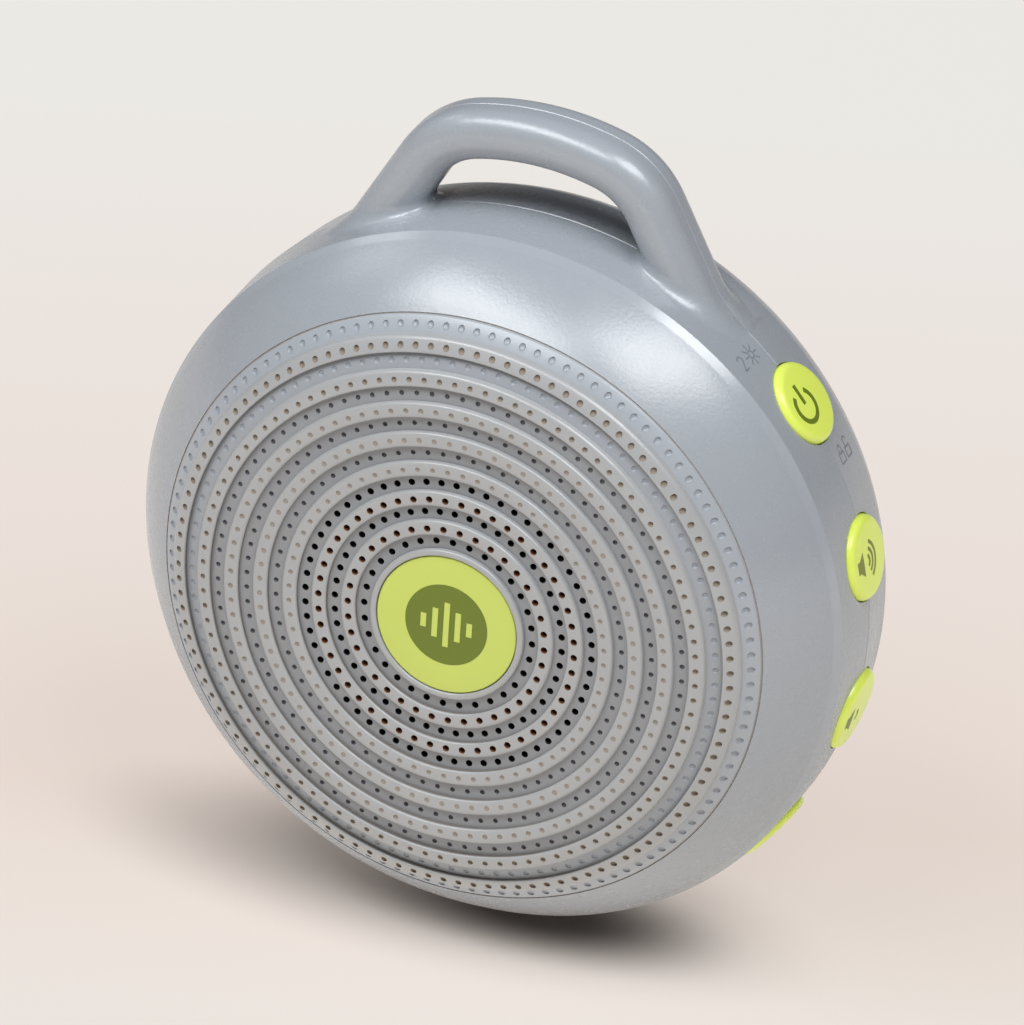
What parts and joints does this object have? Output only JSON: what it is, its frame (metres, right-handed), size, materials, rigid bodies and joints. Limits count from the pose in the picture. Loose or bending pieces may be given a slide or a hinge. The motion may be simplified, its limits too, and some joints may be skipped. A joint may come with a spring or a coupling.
{
  "type": "white noise sound machine",
  "caption": "Round portable sound machine with a loop handle on top, a domed grille with rings of sound holes, push buttons along one side, and a speaker, boards and a battery inside.",
  "frame": {"origin": "on the rest plane, under the casing's parting line and its axis, on the underside of the rubber foot", "axes": "front grille faces -Y, the loop handle is at +Z, the push buttons are on the +X side, and the casing's axis runs along Y"},
  "size_m": [0.0898, 0.0382, 0.1019],
  "materials": {
    "casing_plastic": "satin, fine orange peel",
    "grille_plastic": "matt",
    "ring_plastic": "satin",
    "disc_plastic": "satin, with lime marks",
    "button_plastic": "satin",
    "cloth": "woven",
    "foam": "foam",
    "basket_steel": "satin black",
    "surround_rubber": "matt",
    "cone_paper": "pulp paper",
    "spider_cloth": "impregnated weave",
    "coil_copper": "enamelled wire",
    "zinc_steel": "zinc plated",
    "ferrite": "sintered ceramic",
    "screw_steel": "plated",
    "lead_insulation": "smooth",
    "connector_plastic": "smooth",
    "board_laminate": "solder mask",
    "light_laminate": "white solder mask",
    "led_resin": "clear resin",
    "chip_epoxy": "moulded",
    "can_aluminium": "drawn can",
    "cell_film": "laminated foil pouch",
    "socket_steel": "drawn shell",
    "tongue_plastic": "smooth",
    "pipe_clear": "clear, moulded",
    "switch_plastic": "moulded",
    "plunger_plastic": "moulded",
    "foot_rubber": "matt"
  },
  "bodies": {
    "casing": {"front_shell": "casing_plastic", "rear_shell": "casing_plastic", "grille_plate": "grille_plastic", "grille_rings": "ring_plastic", "hub_rim": "ring_plastic", "centre_disc": "disc_plastic", "acoustic_cloth": "cloth", "speaker_gasket": "foam", "speaker_basket": "basket_steel", "speaker_surround": "surround_rubber", "speaker_spider": "spider_cloth", "top_plate": "zinc_steel", "speaker_magnet": "ferrite", "speaker_yoke": "zinc_steel", "speaker_screws": "screw_steel", "speaker_leads": "lead_insulation", "speaker_connector": "connector_plastic", "light_board": "light_laminate", "light_leds": "led_resin", "light_leads": "lead_insulation", "grille_screws": "screw_steel", "main_board": "board_laminate", "sound_chip": "chip_epoxy", "amplifier_chip": "chip_epoxy", "capacitors": "can_aluminium", "board_screws": "screw_steel", "battery_cell": "cell_film", "battery_pad": "foam", "battery_connector": "connector_plastic", "battery_leads": "lead_insulation", "charging_socket": "socket_steel", "socket_tongue": "tongue_plastic", "charge_led": "led_resin", "charge_light_pipe": "pipe_clear", "power_switch": "switch_plastic", "volume_up_switch": "switch_plastic", "volume_down_switch": "switch_plastic", "sound_switch": "switch_plastic", "case_screws": "screw_steel", "rubber_foot": "foot_rubber"},
    "power_key": {"power_button": "button_plastic", "power_plunger": "plunger_plastic"},
    "volume_up_key": {"volume_up_button": "button_plastic", "volume_up_plunger": "plunger_plastic"},
    "volume_down_key": {"volume_down_button": "button_plastic", "volume_down_plunger": "plunger_plastic"},
    "sound_key": {"sound_button": "button_plastic", "sound_plunger": "plunger_plastic"},
    "cone": {"speaker_cone": "cone_paper", "dust_cap": "cone_paper", "voice_coil": "coil_copper"}
  },
  "joints": [
    {"name": "power_press", "type": "slide", "parent": "casing", "child": "power_key", "axis": [-0.7722, 0, -0.6354], "range_m": [0, 0.0005], "stiffness_N_per_m": 1500},
    {"name": "volume_up_press", "type": "slide", "parent": "casing", "child": "volume_up_key", "axis": [-0.9738, 0, -0.2275], "range_m": [0, 0.0005], "stiffness_N_per_m": 1500},
    {"name": "volume_down_press", "type": "slide", "parent": "casing", "child": "volume_down_key", "axis": [-0.9738, 0, 0.2275], "range_m": [0, 0.0005], "stiffness_N_per_m": 1500},
    {"name": "sound_press", "type": "slide", "parent": "casing", "child": "sound_key", "axis": [-0.7722, 0, 0.6354], "range_m": [0, 0.0005], "stiffness_N_per_m": 1500},
    {"name": "cone_stroke", "type": "slide", "parent": "casing", "child": "cone", "axis": [0, -1, 0], "range_m": [-0.0008, 0.0008], "stiffness_N_per_m": 1100, "deforming": ["speaker_surround", "speaker_spider"]}
  ]
}
